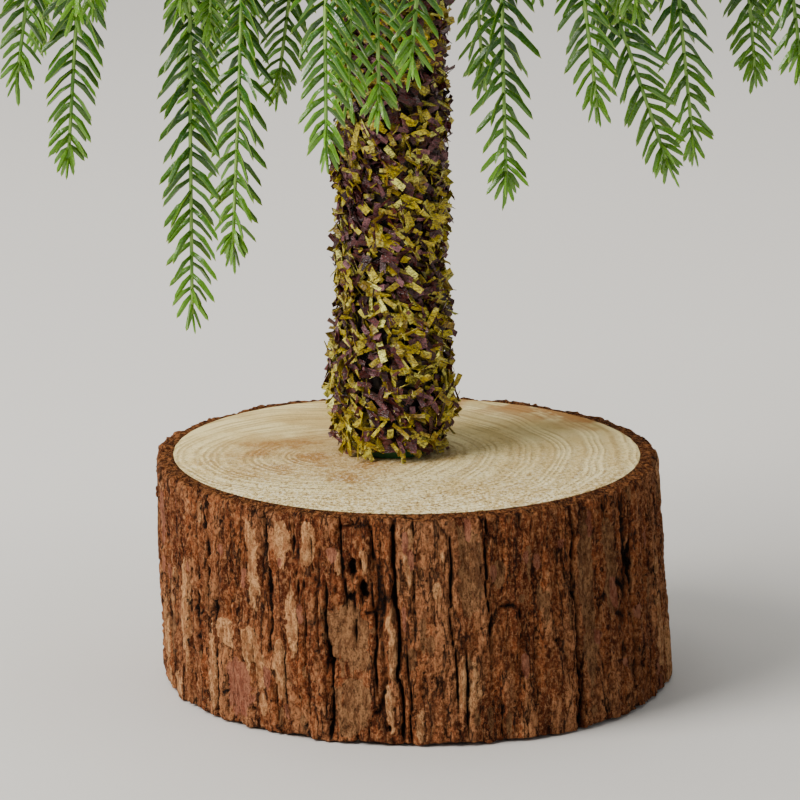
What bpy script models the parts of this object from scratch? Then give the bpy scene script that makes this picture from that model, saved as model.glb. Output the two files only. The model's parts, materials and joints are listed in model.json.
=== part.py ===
"""Tabletop tree: a log slice foot, a trunk wound with chopped-strip garland, and four tiers of
bendable wire branches that carry moulded, drooping sprays.

Metres, +Z up. The origin is the middle of the log's underside and the front of the tree faces -Y.
"""
import math
import random

import bmesh
import bpy
from mathutils import Matrix, Vector

# The log slice.
LOG_DIAMETER = 0.1200
LOG_HEIGHT = 0.0550
LOG_SKEW = 0.0028  # the underside stands this far to +X of the top
LOG_FLARE = 0.0009  # and is this much larger in radius
BARK_THICKNESS = 0.0045

# The trunk and what is wound on it.
TRUNK_X = -0.0035
TRUNK_Y = 0.0035
BARE_TRUNK = 0.1500  # from the log to the lowest branches
POLE_DIAMETER = 0.0164
POLE_WALL = 0.0010
POLE_SET = 0.0370  # how deep the pole stands in the log
GARLAND_DIAMETER = 0.0288
GARLAND_PITCH = 0.0110
CORE_WIRE_DIAMETER = 0.0012

# The crown.
TIER_GAP = 0.0760
CROWN_DIAMETER = 0.3040
STEM_SPIGOT = 0.0330  # how deep the stem stands in the pole
STEM_TOP_DIAMETER = 0.0080
PEG_DIAMETER = 0.0036
LEADER_START = 0.0400  # the leader's foot, above the top tier
LEADER_HEIGHT = 0.1270
WIRE_DIAMETER = 0.0022
SOCKET_DEPTH = 0.0130
TWIG_DIAMETER = 0.0096  # a sprig and its needles
LIFT = math.radians(20)  # how steeply a branch leaves the stem

GAP = 0.0003  # the clearance between neighbouring pieces

BRANCHES_PER_TIER = 6
# Each tier's reach as a share of the crown's, the azimuth of its first branch and, above the
# lowest tier, the number of side twigs on a branch.
TIERS = (
    {"reach": 1.00, "azimuth": math.radians(-95)},
    {"reach": 0.88, "azimuth": math.radians(-65), "twigs": 6},
    {"reach": 0.70, "azimuth": math.radians(-95), "twigs": 5},
    {"reach": 0.52, "azimuth": math.radians(-65), "twigs": 3},
)
# The lowest tier hangs freely round the trunk, each branch in its own way. A twig is (along, side,
# tip): its place as a share of the branch's length, how far to the left it hangs as a share of the
# crown's radius, and the height of its tip over the log as a share of the bare trunk. "end" is the
# same height for the hanging end of the branch itself.
LOWEST_BRANCHES = (
    {"end": 0.92, "twigs": (
        (0.00, 0.01, 0.59), (0.12, 0.10, 0.86), (0.24, -0.02, 0.64), (0.39, -0.05, 0.58),
        (0.59, 0.09, 0.73), (0.66, -0.13, 0.88), (0.82, 0.10, 0.90),
    )},
    {"end": 0.62, "twigs": (
        (0.00, -0.12, 0.46), (0.14, 0.08, 0.84), (0.22, 0.05, 0.48), (0.19, -0.10, 0.60),
        (0.56, 0.10, 0.65), (0.32, -0.10, 0.76), (0.74, 0.06, 0.56),
    )},
    {"end": 0.52, "twigs": (
        (0.08, -0.04, 0.64), (0.12, 0.10, 0.72), (0.25, -0.11, 0.44), (0.46, -0.03, 0.54),
        (0.52, 0.12, 0.66), (0.62, 0.09, 0.60), (0.80, -0.10, 0.58),
    )},
    {"end": 0.56, "twigs": (
        (0.05, 0.10, 0.80), (0.18, -0.11, 0.49), (0.30, 0.10, 0.70), (0.40, -0.14, 0.64),
        (0.55, 0.06, 0.60), (0.70, -0.14, 0.66), (0.80, 0.12, 0.62),
    )},
    {"end": 0.54, "twigs": (
        (0.04, 0.00, 0.25), (0.00, -0.12, 0.50), (0.11, -0.03, 0.47), (0.24, 0.10, 0.72),
        (0.52, 0.06, 0.58), (0.70, -0.12, 0.60), (0.84, 0.10, 0.56),
    )},
    {"end": 0.50, "twigs": (
        (0.05, -0.01, 0.23), (0.11, 0.11, 0.74), (0.32, -0.07, 0.48), (0.40, -0.12, 0.60),
        (0.37, 0.10, 0.74), (0.70, 0.08, 0.54), (0.78, -0.12, 0.60),
    )},
)
# The twigs of the higher tiers, from the stem outward, as shares of the gap to the tier below.
HIGHER_HANG = (0.55, 0.80, 0.95, 0.88, 0.76, 0.66)
# The leader's whorls: height and reach as shares of the leader, and the number of twigs.
WHORLS = (
    {"level": 0.20, "reach": 0.38, "twigs": 5},
    {"level": 0.46, "reach": 0.30, "twigs": 5},
    {"level": 0.70, "reach": 0.20, "twigs": 4},
)

# Facets.
ROUND_STEPS = 20
LOG_STEPS = 48
BARK_STEPS = 96
WINDING_STEPS = 12  # in each turn of the garland

# Radii and places that follow.
LOG_RADIUS = LOG_DIAMETER / 2
WOOD_RADIUS = LOG_RADIUS - BARK_THICKNESS
POLE_RADIUS = POLE_DIAMETER / 2
GARLAND_RADIUS = GARLAND_DIAMETER / 2
WIRE_RADIUS = WIRE_DIAMETER / 2
TWIG_RADIUS = TWIG_DIAMETER / 2
POLE_FOOT = LOG_HEIGHT - POLE_SET
POLE_TOP = LOG_HEIGHT + BARE_TRUNK - 3.5 * WIRE_DIAMETER
STEM_TOP = LOG_HEIGHT + BARE_TRUNK + (len(TIERS) - 1) * TIER_GAP + LEADER_START
TRUNK = Vector((TRUNK_X, TRUNK_Y, 0))


# -------------------------------------------------------------------------------- tools

def clear_scene():
    for thing in list(bpy.data.objects):
        bpy.data.objects.remove(thing, do_unlink=True)


def material(name, colour, roughness, metallic=0.0):
    look = bpy.data.materials.new(name)
    look.use_nodes = True
    shader = look.node_tree.nodes["Principled BSDF"]
    shader.inputs["Base Color"].default_value = (*colour, 1.0)
    shader.inputs["Roughness"].default_value = roughness
    shader.inputs["Metallic"].default_value = metallic
    look.diffuse_color = (*colour, 1.0)
    return look


def add_object(name, data, look, place):
    data.materials.append(look)
    thing = bpy.data.objects.new(name, data)
    bpy.context.scene.collection.objects.link(thing)
    thing.matrix_world = place
    return thing


def add_body(name, body, look, place=Matrix(), sharp=math.radians(40)):
    """Make a bmesh into a named object, shaded smooth but for its sharp edges."""
    bmesh.ops.recalc_face_normals(body, faces=body.faces)
    for face in body.faces:
        face.smooth = True
    for edge in body.edges:
        edge.smooth = edge.calc_face_angle(0.0) < sharp
    mesh = bpy.data.meshes.new(name)
    body.to_mesh(mesh)
    body.free()
    return add_object(name, mesh, look, place)


def combine(thing, operation, tool):
    """Join a tool body to a piece, or cut it out of the piece."""
    tool.hide_render = True
    tool.display_type = "WIRE"
    boolean = thing.modifiers.new(operation.lower(), "BOOLEAN")
    boolean.operation = operation
    boolean.solver = "EXACT"
    boolean.use_self = operation == "UNION"  # twigs that start side by side may meet
    boolean.object = tool


def bridge(body, loops, closed=False):
    """Faces between neighbouring loops of vertices. A closed ring of loops has no end caps."""
    rows = [[body.verts.new(point) for point in loop] for loop in loops]
    for low, high in zip(rows, rows[1:] + (rows[:1] if closed else [])):
        for i in range(len(low)):
            body.faces.new((low[i - 1], low[i], high[i], high[i - 1]))
    if not closed:
        body.faces.new(rows[0])
        body.faces.new(rows[-1])


def tube_curve(name, runs):
    """A curve for each run, of six sides with filled ends. A run is a list of (point, radius)."""
    curve = bpy.data.curves.new(name, "CURVE")
    curve.dimensions = "3D"
    curve.bevel_depth = 1.0
    curve.bevel_resolution = 1
    curve.use_fill_caps = True
    for run in runs:
        spline = curve.splines.new("POLY")
        spline.points.add(len(run) - 1)
        for point, (place, radius) in zip(spline.points, run):
            point.co = (*place, 1)
            point.radius = radius
        spline.use_smooth = True
    return curve


def add_tubes(name, runs, look, place=Matrix()):
    """The tubes of tube_curve as a mesh object, for Booleans to work on."""
    curve = bpy.data.objects.new(name, tube_curve(name, runs))
    body = bmesh.new()
    body.from_mesh(bpy.data.meshes.new_from_object(curve))
    bpy.data.objects.remove(curve, do_unlink=True)
    bmesh.ops.remove_doubles(body, verts=body.verts, dist=0.000001)
    return add_body(name, body, look, place)


def turned(name, outline, look, closed=False):
    """Turn an outline (distance from the trunk's axis, height) about the trunk with a Screw."""
    mesh = bpy.data.meshes.new(name)
    points = [(r, 0, z) for r, z in outline]
    edges = [(i, i + 1) for i in range(len(points) - 1)]
    if closed:
        edges.append((len(points) - 1, 0))
    mesh.from_pydata(points, edges, [])
    thing = add_object(name, mesh, look, Matrix.Translation(TRUNK))
    screw = thing.modifiers.new("turn", "SCREW")
    screw.steps = ROUND_STEPS
    screw.render_steps = ROUND_STEPS
    screw.use_merge_vertices = True
    screw.merge_threshold = 0.00001
    return thing


# ----------------------------------------------------------------------------- log slice

def log_loop(radius, z, steps, inset=None):
    """One level outline of the log: a little out of round, drifting and flaring toward the foot."""
    down = 1 - z / LOG_HEIGHT
    points = []
    for i in range(steps):
        angle = 2 * math.pi * i / steps
        waves = 0.008 * math.cos(2 * angle + 0.6) + 0.006 * math.cos(3 * angle - 1.1)
        reach = radius + LOG_RADIUS * waves + LOG_FLARE * down
        if inset:
            reach -= inset[i]
        x = LOG_SKEW * down + reach * math.cos(angle)
        points.append(Vector((x, reach * math.sin(angle), z)))
    return points


def make_log_wood():
    """The sawn slice, bored from above for the pole."""
    body = bmesh.new()
    bridge(body, [log_loop(WOOD_RADIUS, z, LOG_STEPS) for z in (0, LOG_HEIGHT)])
    look = material("sawn_wood", (0.66, 0.54, 0.36), 0.75)
    wood = add_body("log_wood", body, look)

    floor = POLE_FOOT - GAP
    cutter = bmesh.new()
    bore = POLE_RADIUS + GAP
    depth = 2 * (LOG_HEIGHT - floor)
    bmesh.ops.create_cone(
        cutter, cap_ends=True, segments=LOG_STEPS, radius1=bore, radius2=bore, depth=depth,
    )
    place = Matrix.Translation(TRUNK + Vector((0, 0, floor + depth / 2)))
    combine(wood, "DIFFERENCE", add_body("pole_bore", cutter, look, place))


def bark_inset(chance):
    """How far each strip of bark stands in: shallow ridges, with a deep fissure in every four."""
    insets = []
    for i in range(BARK_STEPS):
        if i % 4 == 0:
            fissure = i + chance.randrange(4)
        share = chance.uniform(0.30, 0.45) if i == fissure else chance.uniform(0.0, 0.16)
        insets.append(share * BARK_THICKNESS)
    return insets


def make_bark():
    """A ring of bark round the wood, split by upright fissures."""
    chance = random.Random(11)
    low = bark_inset(chance)
    high = bark_inset(chance)
    foot = GAP
    top = LOG_HEIGHT - 2 * GAP
    loops = []
    for share in (0, 0.35, 0.7, 1):
        inset = [a + (b - a) * share for a, b in zip(low, high)]
        z = foot + (top - foot) * share
        loops.append(log_loop(LOG_RADIUS, z, BARK_STEPS, inset))
    loops += [log_loop(WOOD_RADIUS + GAP, z, BARK_STEPS) for z in (top, foot)]
    body = bmesh.new()
    bridge(body, loops, closed=True)
    look = material("bark", (0.20, 0.085, 0.045), 0.9)
    add_body("bark", body, look, sharp=math.radians(25))


# --------------------------------------------------------------------------------- trunk

def tier_height(level):
    return LOG_HEIGHT + BARE_TRUNK + level * TIER_GAP


def stem_radius(z):
    """The stem tapers from the pole's width at the first tier to its thin top."""
    share = (z - tier_height(0)) / (STEM_TOP - tier_height(0))
    return POLE_RADIUS + (STEM_TOP_DIAMETER / 2 - POLE_RADIUS) * min(max(share, 0), 1)


def neck_radius(level):
    """The branch wires are let into a neck in the stem."""
    return stem_radius(tier_height(level)) - WIRE_DIAMETER


def make_pole():
    """A green-coated steel tube, glued into the log."""
    inside = POLE_RADIUS - POLE_WALL
    outline = [
        (POLE_RADIUS, POLE_TOP), (POLE_RADIUS, POLE_FOOT), (inside, POLE_FOOT), (inside, POLE_TOP),
    ]
    turned("pole", outline, material("green_coated_steel", (0.035, 0.22, 0.06), 0.4), closed=True)


def make_stem():
    """The taped stem stands in the pole and narrows upward, with a neck at each tier."""
    spigot = POLE_RADIUS - POLE_WALL - GAP
    seat = POLE_TOP + GAP
    peg = PEG_DIAMETER / 2
    outline = [(0, STEM_TOP + SOCKET_DEPTH), (peg, STEM_TOP + SOCKET_DEPTH), (peg, STEM_TOP)]
    outline.append((stem_radius(STEM_TOP), STEM_TOP))
    for level in reversed(range(len(TIERS))):
        z = tier_height(level)
        above = z + 2.6 * WIRE_DIAMETER
        below = z - 1.6 * WIRE_DIAMETER
        outline.append((stem_radius(above), above))
        outline.append((neck_radius(level), above - 0.8 * WIRE_DIAMETER))
        outline.append((neck_radius(level), below + 0.3 * WIRE_DIAMETER))
        outline.append((stem_radius(below), below))
    outline += [(POLE_RADIUS, seat), (spigot, seat)]
    outline += [(spigot, seat - STEM_SPIGOT), (0, seat - STEM_SPIGOT)]
    turned("stem", outline, material("stem_tape", (0.055, 0.12, 0.035), 0.7))


def wound(name, section, look):
    """Wind a section (distance from the trunk's axis, height) up the pole, one pitch a turn."""
    half = GARLAND_PITCH / 2 - GAP
    start = LOG_HEIGHT + GAP + half
    steps = math.floor((POLE_TOP - start - half) / GARLAND_PITCH * WINDING_STEPS)
    body = bmesh.new()
    end = body.faces.new([body.verts.new((r, 0, start + z)) for r, z in section])
    bmesh.ops.spin(
        body, geom=[end], cent=(0, 0, 0), axis=(0, 0, 1),
        dvec=(0, 0, GARLAND_PITCH / WINDING_STEPS), angle=2 * math.pi * steps / WINDING_STEPS,
        steps=steps, use_duplicate=False,
    )
    bmesh.ops.holes_fill(body, edges=body.edges)
    add_body(name, body, look, Matrix.Translation(TRUNK))


def make_garland():
    """A garland of chopped strips, wound in a close spiral with its wire core against the pole."""
    flat = math.cos(math.pi / WINDING_STEPS)  # a facet lies nearer the axis than its corners
    inner = (POLE_RADIUS + GAP) / flat
    half = GARLAND_PITCH / 2 - GAP
    shoulder = GARLAND_RADIUS - 0.3 * (GARLAND_RADIUS - inner)
    core = CORE_WIRE_DIAMETER / 2
    notch = 2.4 * core + GAP
    strips = [
        (inner, -half), (shoulder, -half), (GARLAND_RADIUS, 0), (shoulder, half), (inner, half),
        (inner, notch), (inner + 2 * notch, 0), (inner, -notch),
    ]
    wound("trunk_garland", strips, material("garland_strips", (0.30, 0.24, 0.03), 0.45))
    middle = inner + core
    wire = [(middle + core, 0), (middle, core), (middle - core, 0), (middle, -core)]
    wound("garland_core_wire", wire, material("garland_wire", (0.35, 0.34, 0.32), 0.35, 1.0))


# ------------------------------------------------------------------------------ branches

class Branch:
    """The lines of one branch, in a frame whose origin is the joint and whose +X points outward."""

    def __init__(self, level, index):
        self.level = level
        self.index = index
        self.azimuth = TIERS[level]["azimuth"] + 2 * math.pi * index / BRANCHES_PER_TIER
        # The wire's round end just clears the neck.
        self.joint_radius = neck_radius(level) + GAP + WIRE_RADIUS
        # The lowest sprays start outside the garland, the others outside the stem.
        clear = GARLAND_RADIUS if level == 0 else stem_radius(tier_height(level))
        self.start = clear + 2.6 * TWIG_RADIUS - self.joint_radius
        reach = TIERS[level]["reach"] * CROWN_DIAMETER / 2
        self.end = reach - 2.8 * TWIG_RADIUS - self.joint_radius

    def place(self):
        root = TRUNK + Vector((0, 0, tier_height(self.level)))
        turn = Matrix.Rotation(self.azimuth, 4, "Z")
        return Matrix.Translation(root) @ turn @ Matrix.Translation((self.joint_radius, 0, 0))

    def spine(self, x):
        """A branch rises from the stem, arches over and ends a little under its root."""
        drop = 0.03 * self.end
        sag = (math.tan(LIFT) * self.end + drop) / self.end ** 2
        return Vector((x, 0, math.tan(LIFT) * x - sag * x ** 2))

    def hang(self, x, tip):
        """How far below a place on the lowest spine a tip of that height over the log is."""
        return self.spine(x).z + BARE_TRUNK * (1 - tip)

    def end_hang(self):
        """The length of the branch's own hanging end."""
        if self.level > 0:
            return TIER_GAP * HIGHER_HANG[-1]
        return self.hang(self.end, LOWEST_BRANCHES[self.index]["end"])

    def twigs(self):
        """Each side twig's place on the spine, how far to the left it hangs, and its length."""
        nearest = self.start + 2.6 * TWIG_RADIUS
        length = self.end - nearest
        twigs = []
        if self.level == 0:
            for along, side, tip in LOWEST_BRANCHES[self.index]["twigs"]:
                x = nearest + length * along
                twigs.append((x, side * CROWN_DIAMETER / 2, self.hang(x, tip)))
            return twigs
        # Higher up they go left and right by turns, wider the farther out they sit.
        count = TIERS[self.level]["twigs"]
        for k, share in enumerate(HIGHER_HANG[:count]):
            x = nearest + length * k / count
            out = x + self.joint_radius - 1.5 * TWIG_DIAMETER
            twigs.append((x, (-1) ** (k + self.index) * 0.20 * out, TIER_GAP * share))
        return twigs


def hanging_run(start, side, hang, swing):
    """A side twig leaves the branch outward, turns over and hangs down to a blunt tip."""
    full = TWIG_RADIUS
    return [
        (start, 0.7 * full),
        (start + Vector((1.2 * full, 0.8 * side, -0.18 * hang)), full),
        (start + Vector((1.5 * full + 0.7 * swing, side, 1.3 * full - hang)), 0.9 * full),
        (start + Vector((1.5 * full + swing, side, -hang)), 0.15 * full),
    ]


def make_branch(number, level, index):
    """A taped wire that bends at its root, and the moulded spray pushed on to it."""
    line = Branch(level, index)
    place = line.place()
    chance = random.Random(100 + number)
    first = line.spine(line.start)
    second = line.spine(line.start + 1.4 * SOCKET_DEPTH)
    along = (second - first).normalized()
    bottom = first + along * SOCKET_DEPTH

    wire = [(Vector((-WIRE_RADIUS, 0, 0)), 0.4 * WIRE_RADIUS)]
    wire += [(point, WIRE_RADIUS) for point in (
        Vector((0, 0, 0)), line.spine(0.5 * line.start), first, bottom - along * GAP,
    )]
    tape = material(f"branch_tape_{number:02d}", (0.09, 0.13, 0.04), 0.75)
    add_object(f"branch_wire_{number:02d}", tube_curve("wire", [wire]), tape, place)

    full = TWIG_RADIUS
    hang = line.end_hang()
    fall = line.spine(line.end)
    spine = [(first, 0.6 * full), (second, 0.95 * full)]
    for k in range(1, 4):
        spine.append((line.spine(second.x + (line.end - second.x) * k / 3), 0.95 * full))
    ending = ((0.9, 1.1 * full, 1.0), (1.3, hang - full, 0.85), (1.3, hang, 0.15))
    for out, down, radius in ending:
        spine.append((fall + Vector((out * full, 0, -down)), radius * full))
    green = material(f"spray_green_{number:02d}", (0.07, 0.20, 0.03), 0.4)
    spray = add_tubes(f"spray_{number:02d}", [spine], green, place)

    runs = []
    for x, side, hang in line.twigs():
        swing = chance.uniform(-0.5, 1.0) * full
        runs.append(hanging_run(line.spine(x), side, hang, swing))
    combine(spray, "UNION", add_tubes(f"side_twigs_{number:02d}", runs, green, place))
    hole = WIRE_RADIUS + GAP
    socket = [(first - along * SOCKET_DEPTH, hole), (bottom, hole)]
    combine(spray, "DIFFERENCE", add_tubes(f"socket_{number:02d}", [socket], green, place))


def make_leader():
    """The upright top shoot, pushed on to the stem's peg, with whorls of short twigs."""
    full = TWIG_RADIUS
    up = Vector((0, 0, LEADER_HEIGHT - GAP))
    place = Matrix.Translation(TRUNK + Vector((0, 0, STEM_TOP + GAP)))
    taper = ((0, 0.6), (0.15, 1.0), (0.6, 0.9), (0.94, 0.7), (1, 0.15))
    shoot = [(up * share, radius * full) for share, radius in taper]
    green = material("leader_green", (0.08, 0.22, 0.035), 0.4)
    leader = add_tubes("leader_spray", [shoot], green, place)

    runs = []
    for whorl in WHORLS:
        reach = whorl["reach"] * LEADER_HEIGHT
        for k in range(whorl["twigs"]):
            angle = whorl["level"] * 5 + 2 * math.pi * k / whorl["twigs"]
            out = Vector((math.cos(angle), math.sin(angle), 0))
            root = up * whorl["level"]
            runs.append([
                (root + 0.5 * full * out, 0.25 * full),
                (root + 0.5 * reach * out + up * 0.075, 0.85 * full),
                (root + 0.9 * reach * out + up * 0.04, 0.85 * full),
                (root + reach * out - up * 0.10, 0.15 * full),
            ])
    combine(leader, "UNION", add_tubes("whorls", runs, green, place))
    hole = PEG_DIAMETER / 2 + GAP
    deep = Vector((0, 0, SOCKET_DEPTH + GAP))
    socket = [(-deep, hole / math.cos(math.pi / 6)), (deep, hole / math.cos(math.pi / 6))]
    combine(leader, "DIFFERENCE", add_tubes("peg_socket", [socket], green, place))


def main():
    clear_scene()
    make_log_wood()
    make_bark()
    make_pole()
    make_stem()
    make_garland()
    for level in range(len(TIERS)):
        for index in range(BRANCHES_PER_TIER):
            make_branch(level * BRANCHES_PER_TIER + index + 1, level, index)
    make_leader()
    bpy.context.view_layer.update()


main()
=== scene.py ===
"""Looks of the tabletop tree: bark, sawn wood, chopped-strip garland and moulded needle sprays.

Metres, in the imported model's frame: +Z up, the log's underside at zero and the front toward -Y.
"""
import json
import math
import random

import bpy
import numpy as np
from mathutils import Matrix, Vector


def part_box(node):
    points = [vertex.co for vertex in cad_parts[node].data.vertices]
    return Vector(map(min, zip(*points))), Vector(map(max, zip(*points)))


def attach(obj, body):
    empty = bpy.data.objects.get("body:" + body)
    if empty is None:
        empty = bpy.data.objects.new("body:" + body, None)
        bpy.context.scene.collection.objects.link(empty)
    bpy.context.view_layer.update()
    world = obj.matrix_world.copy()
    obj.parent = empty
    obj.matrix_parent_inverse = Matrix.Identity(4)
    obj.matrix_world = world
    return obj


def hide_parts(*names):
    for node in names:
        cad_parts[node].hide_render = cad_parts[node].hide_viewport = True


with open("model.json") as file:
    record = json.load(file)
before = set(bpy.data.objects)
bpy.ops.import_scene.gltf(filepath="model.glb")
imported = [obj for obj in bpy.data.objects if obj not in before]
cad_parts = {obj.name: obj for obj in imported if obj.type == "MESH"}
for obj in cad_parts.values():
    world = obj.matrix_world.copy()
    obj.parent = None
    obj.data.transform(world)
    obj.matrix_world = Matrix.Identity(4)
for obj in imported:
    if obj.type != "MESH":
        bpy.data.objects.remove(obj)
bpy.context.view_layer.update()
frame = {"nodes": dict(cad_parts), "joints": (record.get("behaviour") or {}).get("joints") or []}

# --------------------------------------------------------------------- sizes, as in the CAD
POLE_LOW, POLE_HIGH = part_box("pole")
LOG_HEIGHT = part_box("log_wood")[1].z
LOG_RADIUS = 0.0600
LOG_SKEW = 0.0028  # the foot stands this far to the right of the top
LOG_FLARE = 0.0009  # and its radius is this much larger
BARK_THICKNESS = 0.0045
GAP = 0.0003  # between a piece and the next

TRUNK = Vector(((POLE_LOW.x + POLE_HIGH.x) / 2, (POLE_LOW.y + POLE_HIGH.y) / 2, 0))
POLE_RADIUS = (POLE_HIGH.x - POLE_LOW.x) / 2
BARE_TRUNK = 0.1500  # from the log to the lowest branches
GARLAND_RADIUS = 0.0144
GARLAND_TOP = POLE_HIGH.z

TIER_GAP = 0.0760
CROWN_RADIUS = 0.1520
TWIG_RADIUS = 0.0048
STEM_FOOT = 0.2050
STEM_TOP = 0.4730
STEM_TOP_RADIUS = 0.0040
LEADER_HEIGHT = 0.1270
LIFT = math.radians(20)  # each branch leaves the stem this far above level
BRANCHES_PER_TIER = 6
REACHES = (1.00, 0.88, 0.70, 0.52)  # of each tier, as shares of the crown's radius
TWIG_COUNTS = (7, 6, 5, 3)
# The lowest branches: the height of the end's tip, then each twig's place along the branch, how
# far it stands to the side and the height of its tip, as shares of the branch, the crown's radius
# and the bare trunk.
LOWEST_BRANCHES = (
    {"end": 0.92, "twigs": (
        (0.00, 0.01, 0.59), (0.12, 0.10, 0.86), (0.24, -0.02, 0.64), (0.39, -0.05, 0.58),
        (0.59, 0.09, 0.73), (0.66, -0.13, 0.88), (0.82, 0.10, 0.90),
    )},
    {"end": 0.62, "twigs": (
        (0.00, -0.12, 0.46), (0.14, 0.08, 0.84), (0.22, 0.05, 0.48), (0.19, -0.10, 0.60),
        (0.56, 0.10, 0.65), (0.32, -0.10, 0.76), (0.74, 0.06, 0.56),
    )},
    {"end": 0.52, "twigs": (
        (0.08, -0.04, 0.64), (0.12, 0.10, 0.72), (0.25, -0.11, 0.44), (0.46, -0.03, 0.54),
        (0.52, 0.12, 0.66), (0.62, 0.09, 0.60), (0.80, -0.10, 0.58),
    )},
    {"end": 0.56, "twigs": (
        (0.05, 0.10, 0.80), (0.18, -0.11, 0.49), (0.30, 0.10, 0.70), (0.40, -0.14, 0.64),
        (0.55, 0.06, 0.60), (0.70, -0.14, 0.66), (0.80, 0.12, 0.62),
    )},
    {"end": 0.54, "twigs": (
        (0.04, 0.00, 0.25), (0.00, -0.12, 0.50), (0.11, -0.03, 0.47), (0.24, 0.10, 0.72),
        (0.52, 0.06, 0.58), (0.70, -0.12, 0.60), (0.84, 0.10, 0.56),
    )},
    {"end": 0.50, "twigs": (
        (0.05, -0.01, 0.23), (0.11, 0.11, 0.74), (0.32, -0.07, 0.48), (0.40, -0.12, 0.60),
        (0.37, 0.10, 0.74), (0.70, 0.08, 0.54), (0.78, -0.12, 0.60),
    )},
)
# The higher branches' twigs hang these shares of the gap between two tiers.
HIGHER_HANG = (0.55, 0.80, 0.95, 0.88, 0.76, 0.66)
# The leader's whorls: the height and the reach as shares of the leader's height, and the twigs.
WHORLS = ((0.20, 0.38, 5), (0.46, 0.30, 5), (0.70, 0.20, 4))

# ------------------------------------------------------------------- sizes of the fine detail
BARK_COLUMNS = 760
BARK_ROWS = 96
BARK_SHY = 0.0005  # the bark's mean face inside the log's outline
NOISE_ROWS = 400

PITH = Vector((-0.0180, -0.0020, 0))  # the middle of the growth rings
RING_WIDTH = 0.0021

STRIP_COUNT = 8200
STRIP_LENGTH = (0.0016, 0.0048)
STRIP_WIDTH = (0.0008, 0.0018)
STRIP_THICKNESS = 0.00012
STRIP_VERTS = 12
STRIP_INNER = 0.0097  # from the trunk's axis to the deepest strips
STRIP_DEPTH = 0.0036
STRIP_SLOPE = (-38, 26)  # degrees from level, and their spread
LOOSE_SHARE = 0.50  # strips that point anywhere
STRAY_SHARE = 0.012  # longer ones that stand out
STRIP_FOOT = 0.0022  # the lowest strips end this far above the log
# Painted shade on the strips: full nearer the trunk's axis than the first distance, none beyond the second.
STRIP_FULL_SHADE = 0.0096  # strips nearer the trunk's axis than this are in the dark
STRIP_NO_SHADE = 0.0130  # and beyond this none is

NEEDLE_LENGTH = 0.0114
NEEDLE_WIDTH = 0.00180
NEEDLE_THICKNESS = 0.00115
NEEDLE_SPACING = 0.0052  # in each row
# Cross sections: the share of the needle's length, then of its width and of its thickness.
NEEDLE_SECTIONS = ((0.0, 0.60, 0.80), (0.40, 1.0, 1.0), (0.86, 0.72, 0.75))
NEEDLE_VERTS = 13  # three sections of four, and the point
NEEDLE_ROOT = (60, 4)  # degrees from the stem at the root, and their spread
NEEDLE_END = (31, 5)  # and at the tip
ROW_TILT = math.radians(27)  # the rows stand this far out of a sprig's own plane
# Rows: the angle round the stem, and the share of the spacing by which the row is shifted.
SPRIG_ROWS = ((ROW_TILT, 0.0), (math.pi - ROW_TILT, 0.08), (-ROW_TILT, 0.5), (math.pi + ROW_TILT, 0.58))
LEADER_ROWS = tuple((math.tau * k / 7 + 0.4, k * 0.37 % 1) for k in range(7))
SPRIG_STEM = 0.00075  # the radius of a sprig's stem
TIP_REACHES = (0.0, 0.005, 0.014, 0.034)  # distances from a sprig's tip
TIP_SHARES = (0.46, 0.60, 0.78, 1.0)  # and the needles' lengths there
CURVE_STEPS = 6  # points between two of a stem's own
SPINE_PARTS = 5
TIP_REST = 0.004  # the needles reach this far past the end of a stem
TIP_NEEDLES = 9  # short ones that close a sprig
LONG_HANG = 0.035  # a twig that hangs further than this has a shorter one at its root
TIP_SPAN = (0.0004, 0.0062)  # the nearest and the furthest of them from its tip


# ---------------------------------------------------------------------------------- tools

def smooth(low, high, x):
    """A soft step: 0 at low, 1 at high."""
    t = np.clip((x - low) / (high - low), 0, 1)
    return t * t * (3 - 2 * t)


def unit(vectors):
    return vectors / np.linalg.norm(vectors, axis=-1, keepdims=True)


def turned(angle, start, toward):
    """start, turned by an angle toward another direction at right angles to it."""
    return np.cos(angle)[:, None] * start + np.sin(angle)[:, None] * toward


def noise(u, v, across, up, seed):
    """Smooth noise from -1 to 1. u runs once round from 0 to 1 and joins up, and v from 0 to 1.

    across and up are the numbers of cells that u and v cross.
    """
    cells = np.random.default_rng(seed).uniform(-1, 1, (across, NOISE_ROWS))
    x = u * across
    y = v * up + NOISE_ROWS / 4  # clear of the first row, so v may be a little below 0
    i = np.floor(x).astype(int)
    j = np.floor(y).astype(int)
    fx = smooth(0, 1, x - i)
    fy = smooth(0, 1, y - j)
    i0, i1 = i % across, (i + 1) % across
    j0, j1 = j % NOISE_ROWS, (j + 1) % NOISE_ROWS
    low = cells[i0, j0] * (1 - fx) + cells[i1, j0] * fx
    high = cells[i0, j1] * (1 - fx) + cells[i1, j1] * fx
    return low * (1 - fy) + high * fy


def add_mesh(name, verts, faces, look, body, replaces=(), values=None, uvs=None):
    """A named piece that rides on a body. values are numbers for each vertex that its look reads."""
    mesh = bpy.data.meshes.new(name)
    if isinstance(faces, np.ndarray):
        faces = faces.tolist()
    mesh.from_pydata(np.asarray(verts).tolist(), [], faces)
    mesh.polygons.foreach_set("use_smooth", [True] * len(mesh.polygons))
    for key, numbers in (values or {}).items():
        layer = mesh.attributes.new(key, "FLOAT", "POINT")
        layer.data.foreach_set("value", np.asarray(numbers, dtype=np.float32))
    if uvs is not None:
        corners = np.zeros(len(mesh.loops), dtype=np.int32)
        mesh.loops.foreach_get("vertex_index", corners)
        mesh.uv_layers.new(name="OFBake").data.foreach_set("uv", uvs[corners].astype(np.float32).ravel())
    mesh.materials.append(look)
    thing = bpy.data.objects.new(name, mesh)
    bpy.context.scene.collection.objects.link(thing)
    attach(thing, body)
    if replaces:
        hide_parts(*replaces)
    return thing


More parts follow.
